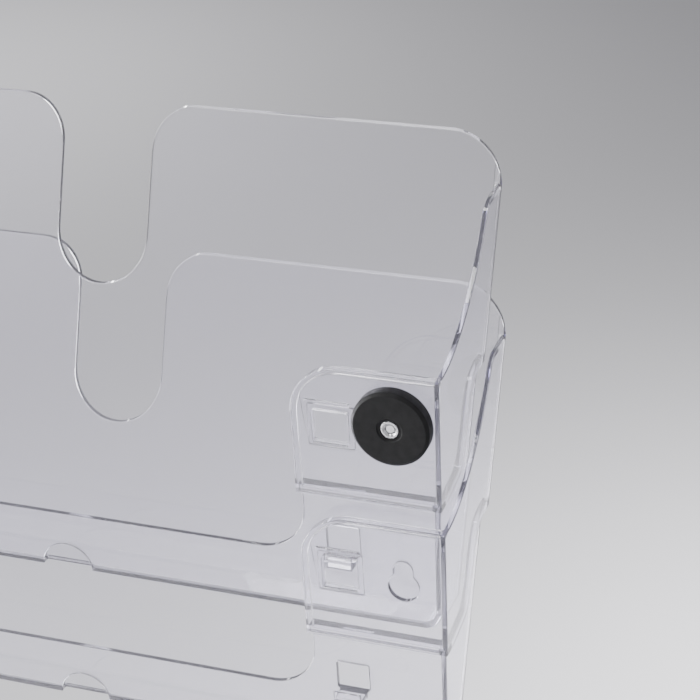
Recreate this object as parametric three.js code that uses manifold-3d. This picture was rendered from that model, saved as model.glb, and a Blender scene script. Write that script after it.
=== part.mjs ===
// Two-tier clear wall rack for brochures, hung on a steel wall by two rubber-coated pot magnets.
// Both tiers are the same injection moulding. The lower one hangs by its clip windows on the
// upper one's hooks, and the upper one's lower half nests inside it.
// Millimetres, +Z up, +Y towards the wall. The origin is on the wall plane, midway between the
// two magnets. Each moulding is drawn in its own frame: x across, d forward from the rear of its
// pads, z up from its underside.

import * as THREE from 'three';
import { mergeVertices } from 'three/addons/utils/BufferGeometryUtils.js';
import Module from 'manifold-3d';

const wasm = await Module();
wasm.setup();

// ---- driving dimensions -------------------------------------------------------------------

const gap = 0.3;                // clearance kept between pieces that touch
const wall = 2.2;               // thickness of the moulding

const tierPitch = 65;           // height from one tier to the next
const halfWidth = 167.6;        // upper part of the side walls, outside, at the front's top
const sideDraft = 0.018;        // half width gained by each unit of height
const nestStep = wall + 0.5;    // how far the lower part is set in, so that it fits the tier below
const lowerBackDepth = 6;       // how far the lower back is set in from the pads

const frontTop = 174;
const frontFoot = 22.6;         // depth of the front's outer face at the underside
const frontLean = 0.383;        // depth gained by each unit of height
const cornerRound = 4;          // plan radius of the front corners, outside
const bottomRound = 8;          // radius along the underside's left and right edges

const wingInnerRound = 18;      // wing corners beside the thumb notch
const wingOuterRound = 23;      // wing corners above the side walls
const notchHalfWidth = 20;
const notchBottom = 104;

const padTop = 112.2;
const padInner = 107;           // distance of the pad's inner edge from the middle
const padRound = 20;
const padFlange = 4.2;          // depth of the rim round the pad's free edge
const ledgeHeight = 57;         // where the pad ends and the set-in lower back begins
const shoulderHeight = 156.5;   // level part of the side wall's top edge
const shoulderDepth = 68;
const riseEndDepth = 58;        // where the rising part of that edge meets its round shoulder
const riseEndHeight = 149.5;
const nestKneeDepth = 22;       // the step in the side wall is nearly level up to here,
const nestKneeHeight = 60;
const nestFrontDepth = 50;      // and rises in an S to here, just short of the front
const nestFrontHeight = 93;

const stripTop = 26;            // low strip that closes the back between the pads
const stripRound = 20;
const archRadius = 11;          // half-round cut at the middle of the strip's lower edge

const windowInner = 115.6;
const windowOuter = 129.9;
const windowBottom = 80.5;
const windowTop = 94;
const collarWidth = 2;
const collarHeight = 1.5;
const ribRise = 3.8;            // the rib over the window clears the tip of the hook
const ribHeight = 1.2;
const ribOverhang = 2;
const ribProud = 0.8;

const hookInner = 117.4;
const hookOuter = 128.8;
const hookThickness = 3;
const hookTipRise = 3.6;
const hookTipThickness = 1.8;
const hookTop = windowTop - tierPitch - gap;
const moldOpeningTop = 41;      // top of the opening that frees the hook from the mould

const keyholeX = 148.8;
const keyholeNeckHeight = 93.7;
const keyholeNeckRadius = 3.8;
const keyholeDrop = 7.6;
const keyholeHeadRadius = 6.2;

const magnetRadius = 15.3;
const magnetHeight = 6;
const jacketSkin = 1;
const jacketRim = 1.3;
const jacketBore = 3.8;
const recessRadius = 5;
const recessDepth = 0.5;
const plateThickness = 1.5;
const discRadius = 4;
const discThickness = 1.6;
const discCircle = 9;
const discCount = 4;
const bushRadius = 3.5;
const bushBore = 2.35;
const bushSetback = 0.3;        // how far the bush's end lies below the rubber's face
const washerRadius = 6;
const washerThickness = 1;
const screwRadius = 2;
const screwHeadRadius = 4;
const screwHeadHeight = 2.7;
const screwSetback = 1.1;       // how far the screw's end lies below the rubber's face
const recessArm = 2.3;
const recessSlot = 0.9;
const driveDepth = 1.6;

const padPlane = -(magnetHeight + gap);
const roundSteps = 8;           // facets in a quarter of a moulded corner
const turnSteps = 28;           // facets round a magnet, bush, washer or screw

// ---- solids -------------------------------------------------------------------------------

function solid(geometry) {
  const plain = geometry.index ? geometry : geometry.clone();
  plain.deleteAttribute('normal');
  plain.deleteAttribute('uv');
  const merged = mergeVertices(plain, 1e-4);
  return new wasm.Manifold(new wasm.Mesh({
    numProp: 3,
    vertProperties: new Float32Array(merged.attributes.position.array),
    triVerts: new Uint32Array(merged.index.array),
  }));
}

function geometryOf(manifold) {
  const mesh = manifold.getMesh();
  const geometry = new THREE.BufferGeometry();
  geometry.setAttribute('position', new THREE.BufferAttribute(mesh.vertProperties, 3));
  geometry.setIndex(new THREE.BufferAttribute(mesh.triVerts, 1));
  geometry.computeVertexNormals();
  return geometry;
}

function extruded(points, depth, matrix) {
  const shape = new THREE.Shape(points);
  const geometry = new THREE.ExtrudeGeometry(shape, { depth, bevelEnabled: false, steps: 1 });
  return solid(geometry.applyMatrix4(matrix));
}

// An outline in (d, z), carried across from x0 to x1.
function acrossX(points, x0, x1) {
  const matrix = new THREE.Matrix4().set(0, 0, -1, x1, -1, 0, 0, 0, 0, 1, 0, 0, 0, 0, 0, 1);
  return extruded(points, x1 - x0, matrix);
}

// An outline in (x, z), carried forward from depth d0 to d1.
function forward(points, d0, d1) {
  const matrix = new THREE.Matrix4().set(1, 0, 0, 0, 0, 0, -1, -d0, 0, 1, 0, 0, 0, 0, 0, 1);
  return extruded(points, d1 - d0, matrix);
}

function at(x, y) {
  return new THREE.Vector2(x, y);
}

function arc(cx, cy, radius, fromDegrees, toDegrees, steps = roundSteps) {
  const points = [];
  for (let i = 0; i <= steps; i += 1) {
    const angle = THREE.MathUtils.degToRad(fromDegrees + (toDegrees - fromDegrees) * i / steps);
    points.push(at(cx + radius * Math.cos(angle), cy + radius * Math.sin(angle)));
  }
  return points;
}

function mirrored(points) {
  return points.map((p) => at(-p.x, p.y)).reverse();
}

function rectangle(x0, x1, z0, z1) {
  return [at(x0, z0), at(x1, z0), at(x1, z1), at(x0, z1)];
}

// ---- one tier -----------------------------------------------------------------------------

const slopeWall = wall * Math.hypot(1, frontLean);   // the front's thickness, measured along d

// The distance of a side wall from the middle at a height, set in from the outside.
function sideAt(z, inset) {
  return halfWidth - sideDraft * (frontTop - z) - inset;
}

// The inside or outside of the tier in plan. It leans forward and widens as it rises.
function leaningPrism(inset, foot, round) {
  const half = sideAt(0, inset);
  const back = -frontTop * frontLean - 20;
  const corner = arc(half - round, -(foot - round), round, 0, -90, 6);
  const points = [at(half, -back), ...corner, ...mirrored(corner), at(-half, -back)];
  const shape = new THREE.Shape(points.reverse());
  const geometry = new THREE.ExtrudeGeometry(shape, { depth: frontTop, bevelEnabled: false });
  const place = geometry.attributes.position;
  for (let i = 0; i < place.count; i += 1) {
    const z = place.getZ(i);
    place.setX(i, place.getX(i) + Math.sign(place.getX(i)) * sideDraft * z);
    place.setY(i, place.getY(i) - frontLean * z);
  }
  return solid(geometry);
}

// The step in the side wall: nearly level from the ledge, then up in an S to the front.
function nestCurve(rise) {
  const start = at(nestKneeDepth, nestKneeHeight + rise);
  const end = at(nestFrontDepth, nestFrontHeight + rise);
  const curve = new THREE.CubicBezierCurve(
    start, at(start.x + 11, start.y + 2.2), at(start.x + 10, end.y), end);
  const ledge = [at(-5, ledgeHeight + rise), at(lowerBackDepth + wall, ledgeHeight + 0.3 + rise)];
  return [...ledge, ...curve.getPoints(12), at(120, end.y)];
}

function aboveNestCurve(rise, back) {
  const edge = nestCurve(rise).map((p) => at(Math.max(p.x, back), p.y));
  return acrossX([...edge, at(120, 200), at(back, 200)], -200, 200);
}

function belowNestCurve(rise, back, floor) {
  const edge = nestCurve(rise).map((p) => at(Math.max(p.x, back), p.y));
  return acrossX([...edge.reverse(), at(back, floor), at(120, floor)], -200, 200);
}

// Everything above a floor with rounded left and right edges. The rounds run just past the walls.
function roundBottomed(inset, floor, round) {
  const middle = floor + round;
  const half = sideAt(middle, inset) + 0.06;
  const side = [...arc(half - round, middle, round, -90, 0, 5), at(180, middle), at(180, 200)];
  return forward([...mirrored(side), ...side], -5, 120);
}

function shell() {
  const outerUpper = leaningPrism(0, frontFoot, cornerRound)
    .intersect(aboveNestCurve(0, 0));
  const outerLower = leaningPrism(nestStep, frontFoot, cornerRound)
    .intersect(belowNestCurve(wall / 2, lowerBackDepth, 0))
    .intersect(roundBottomed(nestStep, 0, bottomRound));
  const innerFoot = frontFoot - slopeWall;
  const innerUpper = leaningPrism(wall, innerFoot, cornerRound - wall)
    .intersect(aboveNestCurve(wall, wall));
  const innerLower = leaningPrism(nestStep + wall, innerFoot, cornerRound - wall)
    .intersect(acrossX(rectangle(lowerBackDepth + wall, 120, wall, 200), -200, 200))
    .intersect(roundBottomed(nestStep + wall, wall, bottomRound - wall));
  return outerUpper.add(outerLower).subtract(innerUpper).subtract(innerLower);
}

// Everything above the side walls' top edge and behind the front panel.
function aboveSides() {
  const inside = (z) => frontFoot - slopeWall + frontLean * z;
  const riseEnd = at(riseEndDepth, riseEndHeight);
  const rise = new THREE.CubicBezierCurve(
    at(padFlange, padTop), at(23, padTop + 0.8), at(46, padTop + 18.5), riseEnd);
  const shoulder = new THREE.QuadraticBezierCurve(
    riseEnd, at(riseEndDepth + 4, shoulderHeight), at(shoulderDepth, shoulderHeight));
  return acrossX([at(-5, padTop), ...rise.getPoints(14), ...shoulder.getPoints(5).slice(1),
    at(inside(shoulderHeight), shoulderHeight), at(inside(200), 200), at(-5, 200)], -200, 200);
}

// What the front panel's outline leaves out: the thumb notch and the wings' round corners.
function outsideFront() {
  const top = frontTop;
  const half = [
    at(halfWidth + 1, 90),
    at(halfWidth + 1, top - wingOuterRound),
    ...arc(halfWidth - wingOuterRound, top - wingOuterRound, wingOuterRound, 0, 90),
    ...arc(notchHalfWidth + wingInnerRound, top - wingInnerRound, wingInnerRound, 90, 180),
    ...arc(0, notchBottom + notchHalfWidth, notchHalfWidth, 0, -90),
  ];
  const kept = forward([...half, ...mirrored(half).slice(1)], 40, 110);
  return forward(rectangle(-180, 180, 91, 190), 50, 100).subtract(kept);
}

function backOpening() {
  const half = [
    ...arc(padInner - stripRound, stripTop + stripRound, stripRound, -90, 0),
    ...arc(padInner + padRound, padTop - padRound, padRound, 180, 90),
  ];
  const over = [at(padInner + padRound, 130)];
  return forward([...half, ...over, ...mirrored([...half, ...over])], -1, 12);
}

function keyhole() {
  const low = keyholeNeckHeight - keyholeDrop;
  const shoulder = THREE.MathUtils.radToDeg(Math.asin(keyholeNeckRadius / keyholeHeadRadius));
  return [
    ...arc(keyholeX, keyholeNeckHeight, keyholeNeckRadius, 0, 180, 12),
    ...arc(keyholeX, low, keyholeHeadRadius, 90 + shoulder, 450 - shoulder, 18),
  ];
}

// Cuts and additions of the right half; the left half mirrors them.
function halfCuts() {
  const back = lowerBackDepth - 1;
  return [
    forward(rectangle(windowInner, windowOuter, windowBottom, windowTop), -1, padFlange),
    forward(rectangle(hookInner - 1, hookOuter + 1, hookTop, moldOpeningTop), back, back + wall + 2),
    forward(keyhole(), -1, wall + 1),
  ];
}

function halfAdditions() {
  const seat = wall - 0.1;
  const outer = sideAt(padTop - wall, wall - 0.1);
  const rim = [
    at(padInner, ledgeHeight + 0.2),
    at(padInner + wall, ledgeHeight + 0.2),
    ...arc(padInner + padRound, padTop - padRound, padRound - wall, 180, 90),
    at(outer, padTop - wall),
    at(outer, padTop),
    ...arc(padInner + padRound, padTop - padRound, padRound, 90, 180),
  ];
  const collar = forward(rectangle(windowInner - collarWidth, windowOuter + collarWidth,
    windowBottom - collarWidth, windowTop + collarWidth), seat, wall + collarHeight)
    .subtract(forward(rectangle(windowInner, windowOuter, windowBottom, windowTop), 0, 9));
  const ribBottom = windowTop + ribRise;
  const rib = forward(rectangle(windowInner - ribOverhang, windowOuter + ribOverhang - 0.5,
    ribBottom, ribBottom + ribHeight), -ribProud, 0.1);
  const tipBack = -gap - hookTipThickness;
  const hook = acrossX([
    at(tipBack, hookTop - hookThickness),
    at(lowerBackDepth + 0.2, hookTop - hookThickness),
    at(lowerBackDepth + 0.2, hookTop),
    at(-gap, hookTop),
    at(-gap, hookTop + hookTipRise - 0.8),
    at(-gap - 0.7, hookTop + hookTipRise),
    at(tipBack, hookTop + hookTipRise),
  ], hookInner, hookOuter);
  return [forward(rim, seat, padFlange), collar, rib, hook];
}

function bothSides(half) {
  return [half, half.mirror([1, 0, 0])];
}

function tierSolid() {
  const arch = forward(arc(0, 0, archRadius, 0, 360, 28).slice(1), 0, lowerBackDepth + wall + 1);
  let tier = shell()
    .subtract(aboveSides())
    .subtract(outsideFront())
    .subtract(backOpening())
    .subtract(arch);
  for (const cut of halfCuts().flatMap(bothSides)) tier = tier.subtract(cut);
  for (const added of halfAdditions().flatMap(bothSides)) tier = tier.add(added);
  return tier;
}

// ---- one magnet with its screw: drawn about its axis, +Z towards the wall, the rubber face at 0

function turned(profile, steps = turnSteps) {
  const points = profile.map(([r, h]) => at(r, h));
  const geometry = new THREE.LatheGeometry([...points, points[0]], steps);
  return solid(geometry.rotateX(Math.PI / 2));
}

// The jacket wraps the steel and the magnets, and is open only round the bush.
function rubberJacket() {
  const outer = magnetRadius;
  const inner = outer - jacketRim;
  return turned([
    [jacketBore, -magnetHeight],
    [outer - 0.4, -magnetHeight],
    [outer, -magnetHeight + 0.4],
    [outer, -0.5],
    [outer - 0.5, 0],
    [recessRadius, 0],
    [recessRadius - 0.4, -recessDepth],
    [jacketBore, -recessDepth],
    [jacketBore, -jacketSkin],
    [inner, -jacketSkin],
    [inner, -magnetHeight + jacketSkin],
    [jacketBore, -magnetHeight + jacketSkin],
  ], 40);
}

function steelPlate() {
  const low = -magnetHeight + jacketSkin + gap;
  const outer = magnetRadius - jacketRim - gap;
  return turned([
    [jacketBore, low],
    [outer, low],
    [outer, low + plateThickness],
    [jacketBore, low + plateThickness],
  ]);
}

function magnetDisc(index) {
  const angle = (index + 0.5) * 2 * Math.PI / discCount;
  const disc = turned([[0, 0], [discRadius, 0], [discRadius, discThickness], [0, discThickness]], 20);
  return disc.translate([
    discCircle * Math.cos(angle),
    discCircle * Math.sin(angle),
    -jacketSkin - gap - discThickness,
  ]);
}

// The bush reaches through the magnet and the keyhole's neck, so it centres both.
function threadedBush() {
  const inside = padPlane - wall;
  return turned([
    [bushBore, inside],
    [bushRadius, inside],
    [bushRadius, -bushSetback - 0.3],
    [bushRadius - 0.3, -bushSetback],
    [bushBore + 0.5, -bushSetback],
    [bushBore, -bushSetback - 0.5],
  ]);
}

function flatWasher() {
  const near = padPlane - wall - gap;
  return turned([
    [bushBore, near - washerThickness],
    [washerRadius, near - washerThickness],
    [washerRadius, near],
    [bushBore, near],
  ]);
}

function panHeadScrew() {
  const seat = padPlane - wall - gap - washerThickness - gap;
  const head = turned([
    [0, seat - screwHeadHeight],
    [screwHeadRadius - 1.6, seat - screwHeadHeight],
    [screwHeadRadius - 0.5, seat - screwHeadHeight + 0.7],
    [screwHeadRadius, seat - screwHeadHeight + 1.7],
    [screwHeadRadius, seat],
    [screwRadius, seat],
    [screwRadius, -screwSetback - 0.5],
    [screwRadius - 0.5, -screwSetback],
    [0, -screwSetback],
  ], 24);
  const slots = [[recessArm, recessSlot], [recessSlot, recessArm]].map(([w, h]) => solid(
    new THREE.BoxGeometry(2 * w, h, 2 * driveDepth).translate(0, 0, seat - screwHeadHeight)));
  const square = solid(new THREE.BoxGeometry(2 * recessSlot, 2 * recessSlot, 2 * driveDepth)
    .translate(0, 0, seat - screwHeadHeight));
  return head.subtract(slots[0]).subtract(slots[1]).subtract(square);
}

// ---- materials ----------------------------------------------------------------------------

const clearPlastic = new THREE.MeshStandardMaterial({
  color: 0xe9e9f2, roughness: 0.06, metalness: 0, transparent: true, opacity: 0.35,
});
const blackRubber = new THREE.MeshStandardMaterial({ color: 0x242425, roughness: 0.7, metalness: 0 });
const zincSteel = new THREE.MeshStandardMaterial({ color: 0xc4c6c8, roughness: 0.3, metalness: 1 });
const nickel = new THREE.MeshStandardMaterial({ color: 0xd6d4ce, roughness: 0.2, metalness: 1 });

// ---- the assembly -------------------------------------------------------------------------

const group = new THREE.Group();

function place(name, manifold, material, parent) {
  const mesh = new THREE.Mesh(geometryOf(manifold), material);
  mesh.name = name;
  parent.add(mesh);
  return mesh;
}

const tier = tierSolid();
['upper', 'lower'].forEach((name, index) => {
  const pocket = place(`${name}_pocket`, tier, clearPlastic, group);
  pocket.position.set(0, padPlane, -keyholeNeckHeight - index * tierPitch);
});

for (const [side, x] of [['left', -keyholeX], ['right', keyholeX]]) {
  const hanger = new THREE.Group();
  hanger.position.set(x, 0, 0);
  hanger.rotation.x = -Math.PI / 2;
  group.add(hanger);
  place(`${side}_rubber_jacket`, rubberJacket(), blackRubber, hanger);
  place(`${side}_steel_plate`, steelPlate(), zincSteel, hanger);
  for (let i = 0; i < discCount; i += 1) {
    place(`${side}_magnet_disc_${i + 1}`, magnetDisc(i), nickel, hanger);
  }
  place(`${side}_threaded_bush`, threadedBush(), zincSteel, hanger);
  place(`${side}_flat_washer`, flatWasher(), zincSteel, hanger);
  place(`${side}_pan_head_screw`, panHeadScrew(), zincSteel, hanger);
}

export default group;
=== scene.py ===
"""The look of the two-tier clear brochure rack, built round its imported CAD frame.

Metres, +Z up, +Y towards the wall, as in the frame. Each moulded pocket is drawn in millimetres in
its own frame (x across, d forward from the rear of its pads, z up from its underside) and is then
set where the CAD pocket is. The magnets are turned in millimetres round their axis, with h = 0 at
the face towards the wall.
"""

import math

import bmesh
import bpy
from mathutils import Matrix, Vector


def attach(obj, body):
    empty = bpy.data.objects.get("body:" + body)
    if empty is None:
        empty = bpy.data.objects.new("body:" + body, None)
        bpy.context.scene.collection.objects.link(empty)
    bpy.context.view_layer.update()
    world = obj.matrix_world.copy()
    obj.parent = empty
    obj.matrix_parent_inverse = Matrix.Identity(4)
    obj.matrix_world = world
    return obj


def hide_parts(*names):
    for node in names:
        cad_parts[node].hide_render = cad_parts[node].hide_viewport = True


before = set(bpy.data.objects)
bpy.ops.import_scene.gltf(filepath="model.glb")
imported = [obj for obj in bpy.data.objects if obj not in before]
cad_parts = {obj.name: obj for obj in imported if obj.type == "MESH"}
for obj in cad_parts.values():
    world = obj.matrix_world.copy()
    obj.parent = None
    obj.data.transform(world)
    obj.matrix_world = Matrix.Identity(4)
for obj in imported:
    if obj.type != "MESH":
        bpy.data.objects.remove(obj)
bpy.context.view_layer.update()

MM = 0.001

# ---- sizes shared with the CAD pocket, in millimetres ----------------------------------------

WALL = 2.2
GAP = 0.3
TIER_PITCH = 65.0
HALF_WIDTH = 167.6
SIDE_DRAFT = 0.018
NEST_STEP = WALL + 0.5
LOWER_BACK_DEPTH = 6.0
FRONT_TOP = 174.0
FRONT_FOOT = 22.6
FRONT_LEAN = 0.383
CORNER_ROUND = 4.0
BOTTOM_ROUND = 8.0
WING_INNER_ROUND = 18.0
WING_OUTER_ROUND = 23.0
NOTCH_HALF_WIDTH = 20.0
NOTCH_BOTTOM = 104.0
PAD_TOP = 112.2
PAD_INNER = 107.0
PAD_ROUND = 20.0
PAD_FLANGE = 4.2
LEDGE_HEIGHT = 57.0
SHOULDER_HEIGHT = 156.5
SHOULDER_DEPTH = 68.0
RISE_END = (58.0, 149.5)
RISE_PULLS = ((23.0, 0.8), (46.0, 18.5))        # depth, and height over the pads
SHOULDER_PULL = 4.0
NEST_KNEE = (22.0, 60.0)
NEST_KNEE_PULL = (11.0, 2.2)    # forward and up from the knee
NEST_FRONT = (50.0, 93.0)
NEST_FRONT_PULL = 10.0          # forward from the knee
LEDGE_RISE = 0.3
STRIP_TOP = 26.0
STRIP_ROUND = 20.0
ARCH_RADIUS = 11.0
WINDOW = (115.6, 129.9, 80.5, 94.0)     # across from and to, up from and to
COLLAR_WIDTH = 2.0
COLLAR_HEIGHT = 1.5
RIB_RISE = 3.8
RIB_HEIGHT = 1.2
RIB_OVERHANGS = (2.0, 1.5)
RIB_PROUD = 0.8
HOOK = (117.4, 128.8)           # across from and to
HOOK_SIDE_ROOM = 1.0
HOOK_THICKNESS = 3.0
HOOK_TIP_RISE = 3.6
HOOK_TIP_THICKNESS = 1.8
HOOK_TIP_CHAMFER = (0.7, 0.8)
HOOK_TOP = WINDOW[3] - TIER_PITCH - GAP
MOLD_OPENING_TOP = 41.0
KEYHOLE_X = 148.8
KEYHOLE_NECK_HEIGHT = 93.7
KEYHOLE_NECK_RADIUS = 3.8
KEYHOLE_DROP = 7.6
KEYHOLE_HEAD_RADIUS = 6.2
MAGNET_HEIGHT = 6.0
PAD_PLANE = -(MAGNET_HEIGHT + GAP)

# ---- sizes shared with the CAD magnets, in millimetres ----------------------------------------

MAGNET_RADIUS = 15.3
JACKET_SKIN = 1.0
JACKET_RIM = 1.3
JACKET_BORE = 3.8
RECESS_RADIUS = 5.0
RECESS_DEPTH = 0.5
PLATE_THICKNESS = 1.5
DISC_RADIUS = 4.0
DISC_THICKNESS = 1.6
DISC_CIRCLE = 9.0
DISC_COUNT = 4
BUSH_RADIUS = 3.5
BUSH_BORE = 2.35
BUSH_SETBACK = 0.3
WASHER_RADIUS = 6.0
WASHER_THICKNESS = 1.0
SCREW_RADIUS = 2.0
SCREW_HEAD_RADIUS = 4.0
SCREW_HEAD_HEIGHT = 2.7
SCREW_SETBACK = 1.1
RECESS_ARM = 2.3
RECESS_SLOT = 0.9
DRIVE_DEPTH = 1.6
THREAD_PITCH = 0.7
THREAD_DEPTH = 0.36

# ---- how the moulding is drawn -----------------------------------------------------------------

SLOPE_WALL = WALL * math.hypot(1, FRONT_LEAN)   # the front panel's thickness along d
FRONT_BLOCK_DEPTHS = (50, 100)  # these depths and heights hold the upper part of the front panel
FRONT_BLOCK_HEIGHTS = (91, 190)
PAST_BACK = -5                  # depths, widths and heights that lie past the moulding
PAST_FRONT = 120
PAST_SIDES = 200
PAST_TOP = 200
CUT_PAST = 1                    # how far a cut runs past the faces it opens
BACK_MARGIN = 20                # how far the leaning solids start behind the back, at the top
SIDE_MARGIN = 0.06              # how far the rounded bottom edges run past the side walls
OVERLAP = 0.1                   # how deep a joined solid starts inside the wall
EDGE_ROUND = 0.38               # radius left on the moulding's edges
EDGE_SEGMENTS = 2
SHORTEST_EDGE = 0.22            # shorter edges are merged before the edges are rounded
ROUNDED_ANGLE = math.radians(32)    # edges sharper than this are rounded
SMOOTH_ANGLE = math.radians(50)     # faces that meet at less than this are shaded as one
LARGE_FACE = 300                # faces over this area are kept exactly flat
FACING_WEIGHT = 100             # what a difference in facing counts against a distance

# ---- how the magnets are drawn -----------------------------------------------------------------

JACKET_EDGE = 0.9               # round edge on the side towards the pocket
JACKET_BEVEL = (1.2, 1.0)       # across and down, on the side towards the wall
METAL_EDGE = 0.2                # round edge on turned steel
BUSH_CHAMFER = 0.35
BUSH_MOUTH = 0.4                # length of the chamfer on the side towards the wall
BUSH_THREAD_DEPTH = 0.25
THREAD_RUNOUT = 0.5             # plain length at each end of a thread
THREAD_STEPS = 7                # profile points in each pitch
THREAD_FLANK = 1.5              # steepness of the thread's flanks
THREAD_CREST = 0.2              # flatness of its crest
PLAIN_SHANK = 0.3               # length of the screw without a thread, under its head
SCREW_CROWN = (0.9, 1.6)        # in and down, where the head's top is rounded
SCREW_TIP_CHAMFER = 0.45
RECESS_WAIST = 0.7              # the cross's inner corners, in slot widths
RECESS_TAPER = (1.1, 0.55)      # size of the cross at its mouth and at its bottom
RECESS_START = 0.4              # how far above the head the cut begins
TURNED_SMOOTH_ANGLE = math.radians(35)
ON_AXIS = 1e-6                  # a smaller radius is a point on the axis


# ---- mesh tools ------------------------------------------------------------------------------

def arc(cx, cy, radius, start, end, steps):
    """Points on an arc, angles in degrees."""
    points = []
    for i in range(steps + 1):
        angle = math.radians(start + (end - start) * i / steps)
        points.append((cx + radius * math.cos(angle), cy + radius * math.sin(angle)))
    return points


def cubic(a, b, c, d, steps):
    """Points on a cubic Bezier curve."""
    points = []
    for i in range(steps + 1):
        t = i / steps
        s = 1 - t
        w = (s ** 3, 3 * s * s * t, 3 * s * t * t, t ** 3)
        points.append(tuple(sum(k * p[n] for k, p in zip(w, (a, b, c, d))) for n in (0, 1)))
    return points


def mirrored(points):
    """An outline on the other side of the middle, still drawn the same way round."""
    return [(-x, y) for x, y in reversed(points)]


def sided(points, sign):
    """An outline as it is for a sign of 1, or on the other side for -1."""
    return points if sign > 0 else mirrored(points)


def rectangle(x0, x1, z0, z1):
    """An outline with level and upright sides."""
    return [(x0, z0), (x1, z0), (x1, z1), (x0, z1)]


def new_object(name, bm):
    """A new object from a bmesh, with its faces turned outwards."""
    bmesh.ops.recalc_face_normals(bm, faces=bm.faces)
    mesh = bpy.data.meshes.new(name)
    bm.to_mesh(mesh)
    bm.free()
    obj = bpy.data.objects.new(name, mesh)
    bpy.context.scene.collection.objects.link(obj)
    return obj


def prism(points, near, far, place):
    """A closed prism over an outline. place(u, v, w) gives a vertex in (x, d, z)."""
    bm = bmesh.new()
    rings = []
    for w in (near, far):
        rings.append([bm.verts.new(place(u, v, w)) for u, v in points])
    bm.faces.new(rings[0])
    bm.faces.new(rings[1])
    count = len(points)
    for i in range(count):
        j = (i + 1) % count
        bm.faces.new((rings[0][i], rings[0][j], rings[1][j], rings[1][i]))
    return new_object("solid", bm)


def across_x(points, x0, x1):
    """An outline in (d, z), carried across from x0 to x1."""
    return prism(points, x0, x1, lambda d, z, x: (x, d, z))


def forward(points, d0, d1):
    """An outline in (x, z), carried forward from depth d0 to d1."""
    return prism(points, d0, d1, lambda x, z, d: (x, d, z))


def evaluated(obj):
    """Applies an object's modifiers to its mesh."""
    graph = bpy.context.evaluated_depsgraph_get()
    mesh = bpy.data.meshes.new_from_object(obj.evaluated_get(graph), depsgraph=graph)
    obj.modifiers.clear()
    obj.data = mesh


def combine(operation, base, *tools):
    """Combines a solid with others, one after another, and removes those."""
    for tool in tools:
        modifier = base.modifiers.new("combine", "BOOLEAN")
        modifier.operation = operation
        modifier.solver = "MANIFOLD"
        modifier.object = tool
        evaluated(base)
        bpy.data.objects.remove(tool)
    return base


def cut(base, *tools):
    return combine("DIFFERENCE", base, *tools)


def join(base, *tools):
    return combine("UNION", base, *tools)


def common(base, *tools):
    return combine("INTERSECT", base, *tools)


# ---- the moulded pocket ----------------------------------------------------------------------

def side_at(z, inset):
    """The distance of a side wall from the middle at a height, set in from the outside."""
    return HALF_WIDTH - SIDE_DRAFT * (FRONT_TOP - z) - inset


def leaning_prism(inset, foot, radius):
    """The inside or outside of the pocket in plan. It leans forward and widens as it rises."""
    half = side_at(0, inset)
    back = -FRONT_TOP * FRONT_LEAN - BACK_MARGIN
    steps = 2 + round(radius)
    corner = arc(half - radius, foot - radius, radius, 0, 90, steps)
    points = [(half, back), *corner, *mirrored(corner), (-half, back)]
    return prism(points, 0, FRONT_TOP, lambda x, d, z: (
        x + math.copysign(SIDE_DRAFT * z, x), d + FRONT_LEAN * z, z))


def nest_curve(rise):
    """The step in the side wall: nearly level from the ledge, then up in an S to the front."""
    knee = (NEST_KNEE[0], NEST_KNEE[1] + rise)
    end = (NEST_FRONT[0], NEST_FRONT[1] + rise)
    leaving = (knee[0] + NEST_KNEE_PULL[0], knee[1] + NEST_KNEE_PULL[1])
    curve = cubic(knee, leaving, (knee[0] + NEST_FRONT_PULL, end[1]), end, 26)
    ledge_front = (LOWER_BACK_DEPTH + WALL, LEDGE_HEIGHT + LEDGE_RISE + rise)
    return [(PAST_BACK, LEDGE_HEIGHT + rise), ledge_front, *curve, (PAST_FRONT, end[1])]


def above_nest_curve(rise, back):
    """Everything above the step and in front of a depth."""
    edge = [(max(d, back), z) for d, z in nest_curve(rise)]
    return across_x([*edge, (PAST_FRONT, PAST_TOP), (back, PAST_TOP)], -PAST_SIDES, PAST_SIDES)


def below_nest_curve(rise, back, floor):
    """Everything below the step, above a floor and in front of a depth."""
    edge = [(max(d, back), z) for d, z in nest_curve(rise)]
    return across_x(
        [*reversed(edge), (back, floor), (PAST_FRONT, floor)], -PAST_SIDES, PAST_SIDES)


def round_bottomed(inset, floor, radius):
    """Everything above a floor with rounded left and right edges, which run just past the walls."""
    middle = floor + radius
    half = side_at(middle, inset) + SIDE_MARGIN
    side = [
        *arc(half - radius, middle, radius, -90, 0, 12),
        (PAST_SIDES, middle),
        (PAST_SIDES, PAST_TOP),
    ]
    return forward([*mirrored(side), *side], PAST_BACK, PAST_FRONT)


def shell():
    """The walls and the floor, wide above the step and set in below it so that tiers nest."""
    outer = common(leaning_prism(0, FRONT_FOOT, CORNER_ROUND), above_nest_curve(0, 0))
    lower = common(
        leaning_prism(NEST_STEP, FRONT_FOOT, CORNER_ROUND),
        below_nest_curve(WALL / 2, LOWER_BACK_DEPTH, 0),
        round_bottomed(NEST_STEP, 0, BOTTOM_ROUND))
    foot = FRONT_FOOT - SLOPE_WALL
    inner = common(
        leaning_prism(WALL, foot, CORNER_ROUND - WALL), above_nest_curve(WALL, WALL))
    above_floor = across_x(
        rectangle(LOWER_BACK_DEPTH + WALL, PAST_FRONT, WALL, PAST_TOP), -PAST_SIDES, PAST_SIDES)
    inner_lower = common(
        leaning_prism(NEST_STEP + WALL, foot, CORNER_ROUND - WALL),
        above_floor,
        round_bottomed(NEST_STEP + WALL, WALL, BOTTOM_ROUND - WALL))
    return cut(join(outer, lower), inner, inner_lower)


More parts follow.
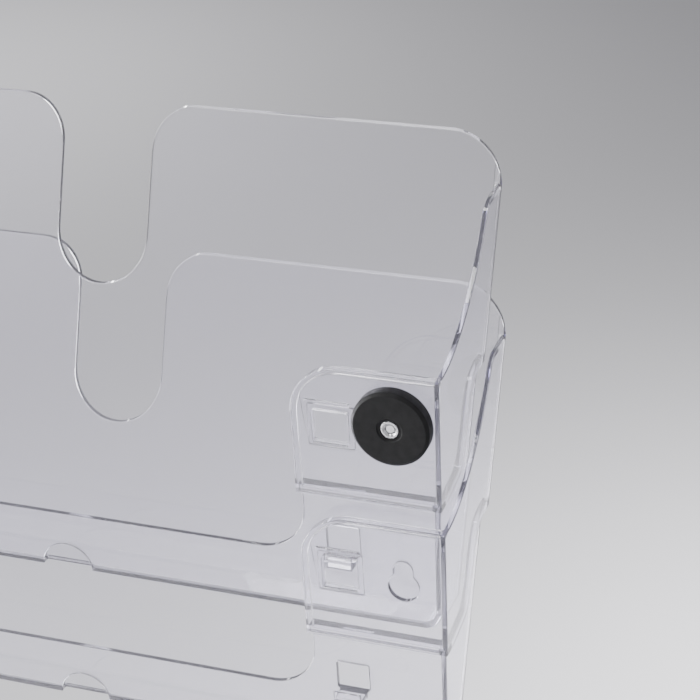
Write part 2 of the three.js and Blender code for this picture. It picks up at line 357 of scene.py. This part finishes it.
def above_sides():
    """Everything above the side walls' top edge and behind the front panel."""
    def inside(z):
        return FRONT_FOOT - SLOPE_WALL + FRONT_LEAN * z
    pulls = [(d, PAD_TOP + z) for d, z in RISE_PULLS]
    rise = cubic((PAD_FLANGE, PAD_TOP), *pulls, RISE_END, 30)
    knee = (RISE_END[0] + SHOULDER_PULL, SHOULDER_HEIGHT)
    end = (SHOULDER_DEPTH, SHOULDER_HEIGHT)
    shoulder = []
    for i in range(1, 11):
        t = i / 10
        s = 1 - t
        shoulder.append(tuple(
            s ** 2 * RISE_END[n] + 2 * t * s * knee[n] + t * t * end[n] for n in (0, 1)))
    top = [(inside(PAST_TOP), PAST_TOP), (PAST_BACK, PAST_TOP)]
    return across_x(
        [(PAST_BACK, PAD_TOP), *rise, *shoulder, (inside(SHOULDER_HEIGHT), SHOULDER_HEIGHT), *top],
        -PAST_SIDES, PAST_SIDES)


def outside_front():
    """What the front panel's outline leaves out: the thumb notch and the wings' round corners."""
    near, far = FRONT_BLOCK_DEPTHS
    foot, top = FRONT_BLOCK_HEIGHTS
    edge = HALF_WIDTH + CUT_PAST
    outer = FRONT_TOP - WING_OUTER_ROUND
    inner = FRONT_TOP - WING_INNER_ROUND
    half = [
        (edge, foot - CUT_PAST),
        (edge, outer),
        *arc(HALF_WIDTH - WING_OUTER_ROUND, outer, WING_OUTER_ROUND, 0, 90, 24),
        *arc(NOTCH_HALF_WIDTH + WING_INNER_ROUND, inner, WING_INNER_ROUND, 90, 180, 20),
        *arc(0, NOTCH_BOTTOM + NOTCH_HALF_WIDTH, NOTCH_HALF_WIDTH, 0, -90, 20),
    ]
    kept = forward([*half, *mirrored(half)[1:]], near - CUT_PAST, far + CUT_PAST)
    return cut(forward(rectangle(-PAST_SIDES, PAST_SIDES, foot, top), near, far), kept)


def back_opening():
    """The opening between the pads and above the low back strip."""
    half = [
        *arc(PAD_INNER - STRIP_ROUND, STRIP_TOP + STRIP_ROUND, STRIP_ROUND, -90, 0, 18),
        *arc(PAD_INNER + PAD_ROUND, PAD_TOP - PAD_ROUND, PAD_ROUND, 180, 90, 24),
        (PAD_INNER + PAD_ROUND, PAST_TOP),
    ]
    return forward([*half, *mirrored(half)], -CUT_PAST, LOWER_BACK_DEPTH + WALL + CUT_PAST)


def keyhole():
    """The right keyhole's outline: a round head with a narrower neck above it."""
    low = KEYHOLE_NECK_HEIGHT - KEYHOLE_DROP
    shoulder = math.degrees(math.asin(KEYHOLE_NECK_RADIUS / KEYHOLE_HEAD_RADIUS))
    return [
        *arc(KEYHOLE_X, KEYHOLE_NECK_HEIGHT, KEYHOLE_NECK_RADIUS, 0, 180, 22),
        *arc(KEYHOLE_X, low, KEYHOLE_HEAD_RADIUS, 90 + shoulder, 450 - shoulder, 36),
    ]


def pocket_mesh():
    """The whole moulding, as one closed mesh in millimetres, with its front towards -Y."""
    body = cut(
        shell(),
        above_sides(),
        outside_front(),
        back_opening(),
        forward(arc(0, 0, ARCH_RADIUS, 0, 360, 56)[1:], 0, LOWER_BACK_DEPTH + WALL + CUT_PAST))
    x0, x1, z0, z1 = WINDOW
    window = rectangle(x0, x1, z0, z1)
    slot = rectangle(
        HOOK[0] - HOOK_SIDE_ROOM, HOOK[1] + HOOK_SIDE_ROOM, HOOK_TOP, MOLD_OPENING_TOP)
    for outline, d0, d1 in (
            (window, -CUT_PAST, PAD_FLANGE),
            (slot, LOWER_BACK_DEPTH - CUT_PAST, LOWER_BACK_DEPTH + WALL + CUT_PAST),
            (keyhole(), -CUT_PAST, WALL + CUT_PAST)):
        for sign in (1, -1):
            cut(body, forward(sided(outline, sign), d0, d1))
    seat = WALL - OVERLAP
    outer = side_at(PAD_TOP - WALL, WALL - OVERLAP)
    rim_foot = LEDGE_HEIGHT + 2 * OVERLAP
    rim = [
        (PAD_INNER, rim_foot),
        (PAD_INNER + WALL, rim_foot),
        *arc(PAD_INNER + PAD_ROUND, PAD_TOP - PAD_ROUND, PAD_ROUND - WALL, 180, 90, 24),
        (outer, PAD_TOP - WALL),
        (outer, PAD_TOP),
        *arc(PAD_INNER + PAD_ROUND, PAD_TOP - PAD_ROUND, PAD_ROUND, 90, 180, 24),
    ]
    collar = rectangle(x0 - COLLAR_WIDTH, x1 + COLLAR_WIDTH, z0 - COLLAR_WIDTH, z1 + COLLAR_WIDTH)
    rib_bottom = z1 + RIB_RISE
    rib = rectangle(
        x0 - RIB_OVERHANGS[0], x1 + RIB_OVERHANGS[1], rib_bottom, rib_bottom + RIB_HEIGHT)
    tip_back = -GAP - HOOK_TIP_THICKNESS
    tip_top = HOOK_TOP + HOOK_TIP_RISE
    hook_root = LOWER_BACK_DEPTH + 2 * OVERLAP
    hook = [
        (tip_back, HOOK_TOP - HOOK_THICKNESS),
        (hook_root, HOOK_TOP - HOOK_THICKNESS),
        (hook_root, HOOK_TOP),
        (-GAP, HOOK_TOP),
        (-GAP, tip_top - HOOK_TIP_CHAMFER[1]),
        (-GAP - HOOK_TIP_CHAMFER[0], tip_top),
        (tip_back, tip_top),
    ]
    collar_front = WALL + COLLAR_HEIGHT
    for sign in (1, -1):
        frame_collar = cut(
            forward(sided(collar, sign), seat, collar_front),
            forward(sided(window, sign), 0, collar_front + CUT_PAST))
        low, high = sorted((sign * HOOK[0], sign * HOOK[1]))
        join(
            body,
            forward(sided(rim, sign), seat, PAD_FLANGE),
            frame_collar,
            forward(sided(rib, sign), -RIB_PROUD, OVERLAP),
            across_x(hook, low, high))
    body.data.transform(Matrix.Scale(-1, 4, (0, 1, 0)))
    body.data.flip_normals()
    return body


def smooth(obj, angle):
    """Shades faces that meet at less than an angle as one."""
    for polygon in obj.data.polygons:
        polygon.use_smooth = True
    obj.data.set_sharp_from_angle(angle=angle)


def large_faces(bm):
    return [face for face in bm.faces if face.calc_area() > LARGE_FACE]


def flatten(faces, planes, rounds=12):
    """Moves the corners of each face back onto whichever of the planes it belongs to.

    A corner of two large faces settles on the line where they meet.
    """
    belongs = []
    for face in faces:
        face.normal_update()
        middle = face.calc_center_median()

        def distance(plane):
            normal, point = plane
            facing = 1 - normal.dot(face.normal)
            return abs((middle - point).dot(normal)) + FACING_WEIGHT * facing

        belongs.append((face, *min(planes, key=distance)))
    for face, normal, point in belongs * rounds:
        for vert in face.verts:
            vert.co -= normal * (vert.co - point).dot(normal)


def rounded(obj):
    """Rounds every sharp edge and shades the faces between them smooth."""
    bm = bmesh.new()
    bm.from_mesh(obj.data)
    flats = [(face.normal.copy(), face.calc_center_median()) for face in large_faces(bm)]
    bmesh.ops.dissolve_degenerate(bm, dist=SHORTEST_EDGE, edges=bm.edges)
    bmesh.ops.remove_doubles(bm, verts=bm.verts, dist=SHORTEST_EDGE)
    flatten(large_faces(bm), flats)
    bm.to_mesh(obj.data)
    bm.free()
    modifier = obj.modifiers.new("edges", "BEVEL")
    modifier.limit_method = "ANGLE"
    modifier.angle_limit = ROUNDED_ANGLE
    modifier.width = EDGE_ROUND
    modifier.segments = EDGE_SEGMENTS
    modifier.use_clamp_overlap = False
    modifier.miter_outer = "MITER_ARC"
    modifier.loop_slide = True
    evaluated(obj)
    smooth(obj, SMOOTH_ANGLE)
    weighted = obj.modifiers.new("normals", "WEIGHTED_NORMAL")
    weighted.keep_sharp = True
    weighted.weight = 90
    evaluated(obj)
    return obj


def pocket(name, index, master):
    """A copy of the moulding in metres, set where the CAD's tier of that index is."""
    obj = master.copy()
    obj.name = name
    obj.data = master.data.copy()
    bpy.context.scene.collection.objects.link(obj)
    place = Matrix.Translation((0, PAD_PLANE, -KEYHOLE_NECK_HEIGHT - index * TIER_PITCH))
    obj.data.transform(Matrix.Scale(MM, 4) @ place)
    return obj


# ---- the magnets -----------------------------------------------------------------------------

def filleted(corners, steps=4):
    """Rounds a profile. Each corner is (r, h) or (r, h, radius), and the profile is closed."""
    points = []
    count = len(corners)
    for i, corner in enumerate(corners):
        here = Vector(corner[:2])
        radius = corner[2] if len(corner) > 2 else 0
        if not radius:
            points.append(here)
            continue
        before = (Vector(corners[i - 1][:2]) - here).normalized()
        after = (Vector(corners[(i + 1) % count][:2]) - here).normalized()
        half = before.angle(after) / 2
        reach = radius / math.tan(half)
        centre = here + (before + after).normalized() * radius / math.sin(half)
        first = here + before * reach - centre
        turn = (here + after * reach - centre).angle_signed(first)
        for k in range(steps + 1):
            spin = Matrix.Rotation(turn * k / steps, 2)
            points.append(centre + spin @ first)
    return points


def thread_wave(height, angle):
    """0 on the crest of a right-hand thread and 1 at its root."""
    phase = (height / THREAD_PITCH + angle / math.tau) % 1
    return min(max(THREAD_FLANK * abs(2 * phase - 1) - THREAD_CREST, 0), 1)


def turned(name, profile, steps, thread=0.0, threaded=(0, 0)):
    """Turns a closed profile of (r, h) round the magnet's axis, which points along +Y.

    Between the two heights of the threaded stretch, the surface goes in by up to the depth of the
    thread.
    """
    bm = bmesh.new()
    rings = []
    for r, h in profile:
        if r < ON_AXIS:
            rings.append([bm.verts.new((0, h, 0))] * steps)
            continue
        ring = []
        for i in range(steps):
            angle = math.tau * i / steps
            reach = r
            if threaded[0] < h < threaded[1]:
                reach -= thread * thread_wave(h, angle)
            ring.append(bm.verts.new((reach * math.cos(angle), h, reach * math.sin(angle))))
        rings.append(ring)
    for a, b in zip(rings, rings[1:] + rings[:1]):
        for i in range(steps):
            j = (i + 1) % steps
            corners = list(dict.fromkeys((a[i], a[j], b[j], b[i])))
            if len(corners) > 2:
                bm.faces.new(corners)
    return new_object(name, bm)


def rubber_jacket():
    """The rubber that wraps the steel and the magnets, open only round the bush."""
    outer = MAGNET_RADIUS
    inner = outer - JACKET_RIM
    return turned("rubber_jacket", filleted([
        (JACKET_BORE, -MAGNET_HEIGHT, 0.25),
        (outer, -MAGNET_HEIGHT, JACKET_EDGE),
        (outer, -JACKET_BEVEL[1], 0.3),
        (outer - JACKET_BEVEL[0], 0, 0.5),
        (RECESS_RADIUS, 0, 0.22),
        (RECESS_RADIUS - 0.3, -RECESS_DEPTH, 0.2),
        (JACKET_BORE, -RECESS_DEPTH, 0.12),
        (JACKET_BORE, -JACKET_SKIN),
        (inner, -JACKET_SKIN, 0.4),
        (inner, -MAGNET_HEIGHT + JACKET_SKIN, 0.4),
        (JACKET_BORE, -MAGNET_HEIGHT + JACKET_SKIN),
    ], 6), 112)


def steel_plate():
    low = -MAGNET_HEIGHT + JACKET_SKIN + GAP
    outer = MAGNET_RADIUS - JACKET_RIM - GAP
    return turned("steel_plate", filleted([
        (JACKET_BORE, low, METAL_EDGE),
        (outer, low, 2 * METAL_EDGE),
        (outer, low + PLATE_THICKNESS, METAL_EDGE),
        (JACKET_BORE, low + PLATE_THICKNESS, METAL_EDGE),
    ]), 80)


def magnet_disc(index):
    top = -JACKET_SKIN - GAP
    disc = turned("magnet_disc", filleted([
        (0, top - DISC_THICKNESS),
        (DISC_RADIUS, top - DISC_THICKNESS, 0.25),
        (DISC_RADIUS, top, 0.25),
        (0, top),
    ]), 56)
    angle = (index + 0.5) * math.tau / DISC_COUNT
    across = DISC_CIRCLE * math.cos(angle)
    disc.data.transform(Matrix.Translation((across, 0, -DISC_CIRCLE * math.sin(angle))))
    return disc


def threaded_stretch(radius, low, high):
    """Profile points close enough together to carry the thread."""
    count = round((high - low) / THREAD_PITCH * THREAD_STEPS)
    return [(radius, low + (high - low) * i / count) for i in range(count + 1)]


def threaded_bush():
    """The steel sleeve through the magnet, with its screw thread inside."""
    inside = PAD_PLANE - WALL
    end = -BUSH_SETBACK
    outside = filleted([
        (BUSH_BORE + BUSH_CHAMFER, inside),
        (BUSH_RADIUS, inside, METAL_EDGE),
        (BUSH_RADIUS, end, 0.32),
        (BUSH_BORE + BUSH_CHAMFER, end, 0.12),
    ])
    bore = threaded_stretch(BUSH_BORE, inside + BUSH_CHAMFER, end - BUSH_MOUTH)
    return turned(
        "threaded_bush", [*outside, *reversed(bore)], 64,
        BUSH_THREAD_DEPTH, (inside + THREAD_RUNOUT, end - THREAD_RUNOUT))


def flat_washer():
    near = PAD_PLANE - WALL - GAP
    return turned("flat_washer", filleted([
        (BUSH_BORE, near - WASHER_THICKNESS, 0.08),
        (WASHER_RADIUS, near - WASHER_THICKNESS, 0.25),
        (WASHER_RADIUS, near, 0.08),
        (BUSH_BORE, near, 0.08),
    ]), 96)


def pan_head_screw():
    """A pan-head screw with a real helical thread and a tapered cross recess."""
    seat = PAD_PLANE - WALL - GAP - WASHER_THICKNESS - GAP
    top = seat - SCREW_HEAD_HEIGHT
    end = -SCREW_SETBACK
    head = filleted([
        (0, top),
        (SCREW_HEAD_RADIUS - SCREW_CROWN[0], top, SCREW_CROWN[1]),
        (SCREW_HEAD_RADIUS, top + SCREW_CROWN[1], 0.5),
        (SCREW_HEAD_RADIUS, seat, 0.15),
        (SCREW_RADIUS, seat),
    ], 6)
    shank = threaded_stretch(SCREW_RADIUS, seat + PLAIN_SHANK, end - THREAD_RUNOUT)
    tip = [(SCREW_RADIUS - SCREW_TIP_CHAMFER, end), (0, end)]
    screw = turned(
        "pan_head_screw", [*head, *shank, *tip], 64,
        THREAD_DEPTH, (seat + THREAD_RUNOUT, end - THREAD_RUNOUT))
    waist = RECESS_SLOT * RECESS_WAIST
    arm = ((RECESS_ARM, -RECESS_SLOT / 2), (RECESS_ARM, RECESS_SLOT / 2), (waist, waist))
    cross = []
    for turn in range(4):
        spin = Matrix.Rotation(math.radians(90 * turn), 2)
        cross.extend(tuple(spin @ Vector(corner)) for corner in arm)
    depth = top + DRIVE_DEPTH

    def tapered(u, v, w):
        scale = RECESS_TAPER[0] if w < depth else RECESS_TAPER[1]
        return (u * scale, w, v * scale)

    return cut(screw, prism(cross, top - RECESS_START, depth, tapered))


def magnet_piece(name, obj, side, look):
    """Puts one piece of a magnet on its axis, in place of the CAD node of the same name."""
    centre = KEYHOLE_X if side == "right" else -KEYHOLE_X
    obj.name = f"{side}_{name}_finish"
    obj.data.transform(Matrix.Scale(MM, 4) @ Matrix.Translation((centre, 0, 0)))
    smooth(obj, TURNED_SMOOTH_ANGLE)
    obj.data.materials.clear()
    obj.data.materials.append(look)
    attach(obj, "upper_tier")
    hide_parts(f"{side}_{name}")


# ---- materials -------------------------------------------------------------------------------

def material(name):
    """A new material, its node tree and its shader."""
    made = bpy.data.materials.new(name)
    made.use_nodes = True
    return made, made.node_tree, made.node_tree.nodes["Principled BSDF"]


def noise(tree, scale, detail, stretch=(1, 1, 1)):
    """A noise over the object's own coordinates, in metres."""
    place = tree.nodes.new("ShaderNodeTexCoord")
    squeeze = tree.nodes.new("ShaderNodeMapping")
    squeeze.inputs["Scale"].default_value = stretch
    texture = tree.nodes.new("ShaderNodeTexNoise")
    texture.inputs["Scale"].default_value = scale
    texture.inputs["Detail"].default_value = detail
    tree.links.new(place.outputs["Object"], squeeze.inputs["Vector"])
    tree.links.new(squeeze.outputs["Vector"], texture.inputs["Vector"])
    return texture.outputs["Fac"]


def spread(tree, value, low, high, socket):
    """Drives a socket between two values by a noise."""
    reach = tree.nodes.new("ShaderNodeMapRange")
    reach.inputs["From Min"].default_value = 0.3
    reach.inputs["From Max"].default_value = 0.7
    reach.inputs["To Min"].default_value = low
    reach.inputs["To Max"].default_value = high
    tree.links.new(value, reach.inputs["Value"])
    tree.links.new(reach.outputs["Result"], socket)


def tinted(tree, value, dark, light, shader):
    """Drives the base colour between two colours by a noise."""
    ramp = tree.nodes.new("ShaderNodeValToRGB")
    ramp.color_ramp.elements[0].position = 0.35
    ramp.color_ramp.elements[0].color = (*dark, 1)
    ramp.color_ramp.elements[1].position = 0.68
    ramp.color_ramp.elements[1].color = (*light, 1)
    tree.links.new(value, ramp.inputs["Fac"])
    tree.links.new(ramp.outputs["Color"], shader.inputs["Base Color"])


def grained(tree, value, strength, depth, shader):
    """Roughens the surface by a noise, to a depth in metres."""
    bump = tree.nodes.new("ShaderNodeBump")
    bump.inputs["Strength"].default_value = strength
    bump.inputs["Distance"].default_value = depth
    tree.links.new(value, bump.inputs["Height"])
    tree.links.new(bump.outputs["Normal"], shader.inputs["Normal"])


def clear_plastic():
    """Clear plastic with a faint haze and a violet tint in depth. Lamps shine through it."""
    made, tree, shader = material("clear_polystyrene")
    output = tree.nodes["Material Output"]
    shader.inputs["Base Color"].default_value = (0.972, 0.966, 1, 1)
    shader.inputs["Transmission Weight"].default_value = 0.975
    shader.inputs["IOR"].default_value = 1.57
    spread(tree, noise(tree, 90, 5), 0.0, 0.02, shader.inputs["Roughness"])
    grained(tree, noise(tree, 16, 1), 0.12, 0.0006, shader)
    clear = tree.nodes.new("ShaderNodeBsdfTransparent")
    clear.inputs["Color"].default_value = (0.93, 0.93, 0.95, 1)
    path = tree.nodes.new("ShaderNodeLightPath")
    mix = tree.nodes.new("ShaderNodeMixShader")
    tree.links.new(path.outputs["Is Shadow Ray"], mix.inputs[0])
    tree.links.new(shader.outputs[0], mix.inputs[1])
    tree.links.new(clear.outputs[0], mix.inputs[2])
    tree.links.new(mix.outputs[0], output.inputs["Surface"])
    absorb = tree.nodes.new("ShaderNodeVolumeAbsorption")
    absorb.inputs["Color"].default_value = (0.85, 0.835, 0.96, 1)
    absorb.inputs["Density"].default_value = 34
    tree.links.new(absorb.outputs[0], output.inputs["Volume"])
    return made


def black_rubber():
    """Moulded rubber: nearly black, with a fine grain and faint handling marks."""
    made, tree, shader = material("moulded_rubber")
    tinted(tree, noise(tree, 260, 5), (0.0035, 0.0035, 0.0038), (0.008, 0.008, 0.0085), shader)
    shader.inputs["Specular IOR Level"].default_value = 0.3
    spread(tree, noise(tree, 420, 4), 0.46, 0.62, shader.inputs["Roughness"])
    grained(tree, noise(tree, 5200, 2), 0.35, 0.00004, shader)
    return made


def metal(name, dark, light, polish, grain, stretch=(1, 1, 1)):
    """A bare or plated metal. Its colour, polish and grain vary over the surface."""
    made, tree, shader = material(name)
    shader.inputs["Metallic"].default_value = 1
    tinted(tree, noise(tree, 700, 4), dark, light, shader)
    spread(tree, noise(tree, 1500, 3, stretch), *polish, shader.inputs["Roughness"])
    grained(tree, noise(tree, 4200, 2, stretch), grain, 0.00002, shader)
    return made


# ---- the rack --------------------------------------------------------------------------------

plastic = clear_plastic()
rubber = black_rubber()
zinc = metal("zinc_plated_steel", (0.52, 0.54, 0.57), (0.68, 0.68, 0.66), (0.22, 0.36), 0.3)
bright = metal(
    "bright_turned_steel", (0.70, 0.71, 0.72), (0.80, 0.80, 0.80), (0.12, 0.24), 0.2, (1, 9, 1))
nickel = metal("nickel_plate", (0.66, 0.63, 0.58), (0.74, 0.71, 0.66), (0.10, 0.20), 0.15)

master = rounded(pocket_mesh())
for index, tier in enumerate(("upper", "lower")):
    piece = pocket(f"{tier}_pocket_shell", index, master)
    piece.data.materials.clear()
    piece.data.materials.append(plastic)
    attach(piece, f"{tier}_tier")
    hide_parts(f"{tier}_pocket")
bpy.data.objects.remove(master)

for side in ("left", "right"):
    magnet_piece("rubber_jacket", rubber_jacket(), side, rubber)
    magnet_piece("steel_plate", steel_plate(), side, zinc)
    for index in range(DISC_COUNT):
        magnet_piece(f"magnet_disc_{index + 1}", magnet_disc(index), side, nickel)
    magnet_piece("threaded_bush", threaded_bush(), side, bright)
    magnet_piece("flat_washer", flat_washer(), side, zinc)
    magnet_piece("pan_head_screw", pan_head_screw(), side, bright)

# ---- stage, light and camera -----------------------------------------------------------------

FLOOR_HEIGHT = -0.55
FLOOR_SIZE = 16

bpy.ops.mesh.primitive_grid_add(size=FLOOR_SIZE, location=(0, 0, FLOOR_HEIGHT))
floor = bpy.context.object
floor.name = "studio_floor"
floor_look, _, shader = material("studio_floor")
shader.inputs["Base Color"].default_value = (0.252, 0.25, 0.261, 1)
shader.inputs["Roughness"].default_value = 0.8
floor.data.materials.append(floor_look)


def studio_world():
    """Pale walls all round and a darker ceiling, as soft light from every side."""
    world = bpy.data.worlds.new("studio")
    bpy.context.scene.world = world
    world.use_nodes = True
    tree = world.node_tree
    place = tree.nodes.new("ShaderNodeTexCoord")
    height = tree.nodes.new("ShaderNodeSeparateXYZ")
    ramp = tree.nodes.new("ShaderNodeValToRGB")
    low, high = ramp.color_ramp.elements
    low.position = 0.25
    low.color = (0.97, 0.96, 1, 1)
    high.position = 0.95
    high.color = (0.45, 0.45, 0.47, 1)
    tree.links.new(place.outputs["Generated"], height.inputs["Vector"])
    tree.links.new(height.outputs["Z"], ramp.inputs["Fac"])
    tree.links.new(ramp.outputs["Color"], tree.nodes["Background"].inputs["Color"])
    tree.nodes["Background"].inputs["Strength"].default_value = 0.85


studio_world()


def softbox(name, location, target, width, height, power):
    """A rectangular lamp that faces a target. The camera doesn't see it. Its power is in watts."""
    light = bpy.data.lights.new(name, "AREA")
    light.shape = "RECTANGLE"
    light.size = width
    light.size_y = height
    light.energy = power
    obj = bpy.data.objects.new(name, light)
    obj.location = location
    direction = Vector(target) - Vector(location)
    obj.rotation_euler = direction.to_track_quat("-Z", "Y").to_euler()
    obj.visible_camera = False
    bpy.context.scene.collection.objects.link(obj)


softbox("floor_near", (-0.3, -0.55, -0.05), (-0.2, -0.6, FLOOR_HEIGHT), 0.3, 0.3, 22.5)
softbox("floor_far", (1.1, -1.6, 0.25), (1.0, -1.5, FLOOR_HEIGHT), 0.4, 0.4, 17.5)
softbox("overhead", (0.37, 0.45, 1.25), (0, 0, 0), 0.4, 0.4, 7)
softbox("low_card", (0.8, -0.1, -0.38), (-0.13, 0, -0.03), 1.0, 0.3, 16)
softbox("side_strip", (1.1, 0.35, 0.2), (0, 0, 0), 0.14, 1.0, 14)
softbox("wall_side_floor", (0.1, 0.62, -0.2), (0.1, 0.62, FLOOR_HEIGHT), 0.3, 0.3, 9)
softbox("wall_side_wash", (0, 1.5, 1.6), (0, 4.2, FLOOR_HEIGHT), 2.5, 0.8, 260)

# Where the camera stands, and how it is turned.
CAMERA_PLACE = Vector((-0.3974, 0.6470, 0.3985))
YAW = math.radians(-22.039)
PITCH = math.radians(27.736)
ROLL = math.radians(3.564)
LENS = 112.99

ahead = Vector((
    -math.sin(YAW) * math.cos(PITCH), -math.cos(YAW) * math.cos(PITCH), -math.sin(PITCH)))
right = Vector((-math.cos(YAW), math.sin(YAW), 0))
down = ahead.cross(right)
across = math.cos(ROLL) * right + math.sin(ROLL) * down
upward = math.sin(ROLL) * right - math.cos(ROLL) * down
camera = bpy.data.objects.new("camera", bpy.data.cameras.new("camera"))
camera.data.lens = LENS
camera.matrix_world = Matrix.Translation(CAMERA_PLACE) @ Matrix(
    (across, upward, -ahead)).transposed().to_4x4()
bpy.context.scene.collection.objects.link(camera)
bpy.context.scene.camera = camera
